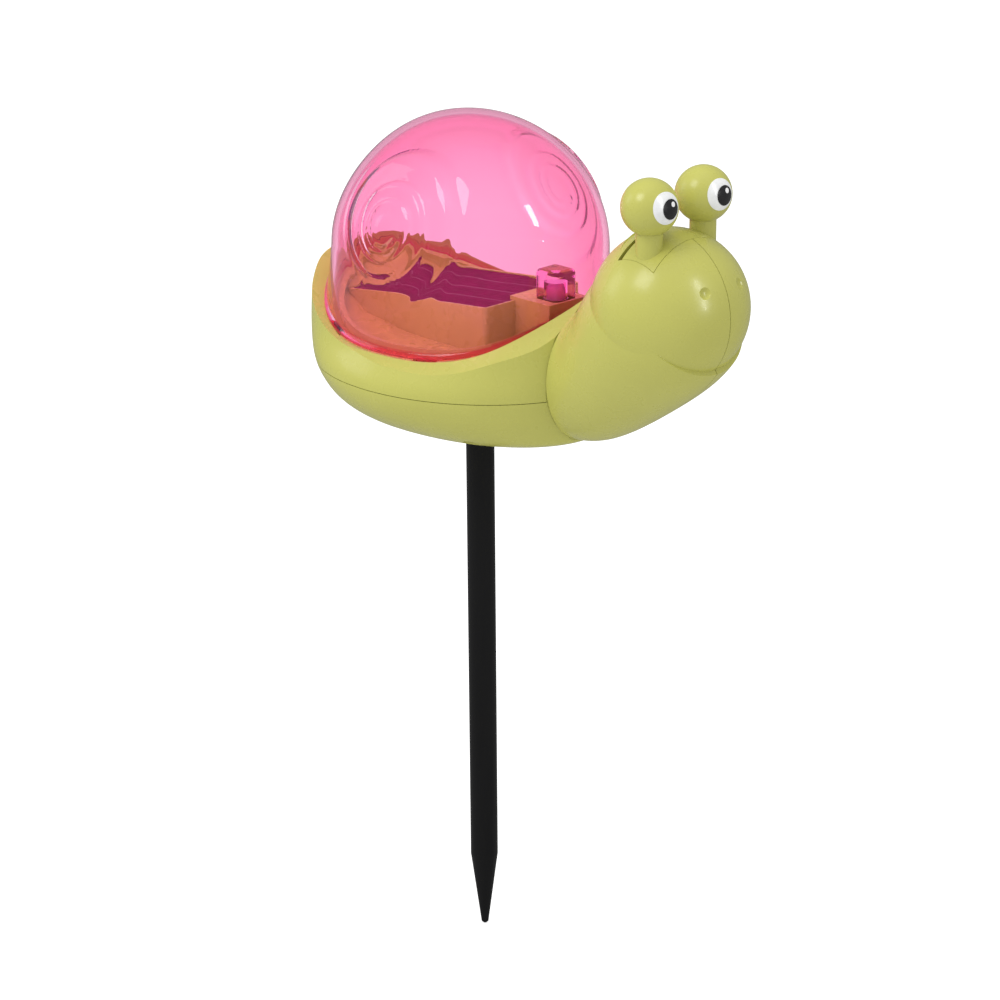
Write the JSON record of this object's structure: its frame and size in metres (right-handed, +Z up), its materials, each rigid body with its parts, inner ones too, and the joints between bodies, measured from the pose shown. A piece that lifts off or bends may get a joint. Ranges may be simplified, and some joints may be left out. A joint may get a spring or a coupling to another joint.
{
  "type": "garden stake light",
  "caption": "Snail-shaped solar garden light: round foot with a raised head and stalk eyes, clear dome shell over a solar panel, on a pointed ground stake.",
  "frame": {"origin": "on the stake's axis, at the shoulder that the snail's underside rests on", "axes": "+Z up along the stake; +X towards the snail's nose; Y = 0 is the snail's mirror plane"},
  "size_m": [0.1491, 0.0904, 0.2601],
  "materials": {
    "green": "glossy moulded plastic",
    "clear_pink": "clear tinted plastic",
    "stake": "satin moulded plastic",
    "white_ink": "pad print",
    "black_ink": "pad print",
    "steel": "plated steel",
    "cell_jacket": "shrink sleeve",
    "dark_plastic": "moulded plastic",
    "panel": "laminated cell under clear resin",
    "seal": "foam rubber",
    "board": "solder resist",
    "lamp": "clear epoxy",
    "lead": "insulated lead"
  },
  "bodies": {
    "stake": {"ground_stake": "stake"},
    "snail": {"foot_lower": "green", "foot_upper": "green", "head_left": "green", "head_right": "green", "eye_saddle": "green", "eye_left": "green", "eye_right": "green", "eye_white_left": "white_ink", "eye_white_right": "white_ink", "pupil_left": "black_ink", "pupil_right": "black_ink", "foot_screws": "steel", "head_screws": "steel", "battery_cell": "cell_jacket", "battery_plate": "steel", "battery_spring": "steel", "switch_case": "dark_plastic", "solar_panel": "panel", "panel_seal": "seal", "circuit_board": "board", "led": "lamp", "led_lens": "clear_pink", "led_leads": "lead", "battery_leads": "lead", "switch_leads": "lead", "panel_leads": "lead"},
    "clear_shell": {"shell": "clear_pink"},
    "knob": {"switch_knob": "dark_plastic"},
    "cover": {"battery_cover": "green", "cover_screw": "steel"}
  },
  "joints": [
    {"name": "snail_lift", "type": "slide", "parent": "stake", "child": "snail", "axis": [0, 0, 1], "range_m": [0, 0.03]},
    {"name": "shell_lift", "type": "slide", "parent": "snail", "child": "clear_shell", "axis": [0, 0, 1], "range_m": [0, 0.06]},
    {"name": "switch_slide", "type": "slide", "parent": "snail", "child": "knob", "axis": [0, 1, 0], "range_m": [0, 0.003]},
    {"name": "cover_drop", "type": "slide", "parent": "snail", "child": "cover", "axis": [0, 0, -1], "range_m": [0, 0.02]}
  ]
}
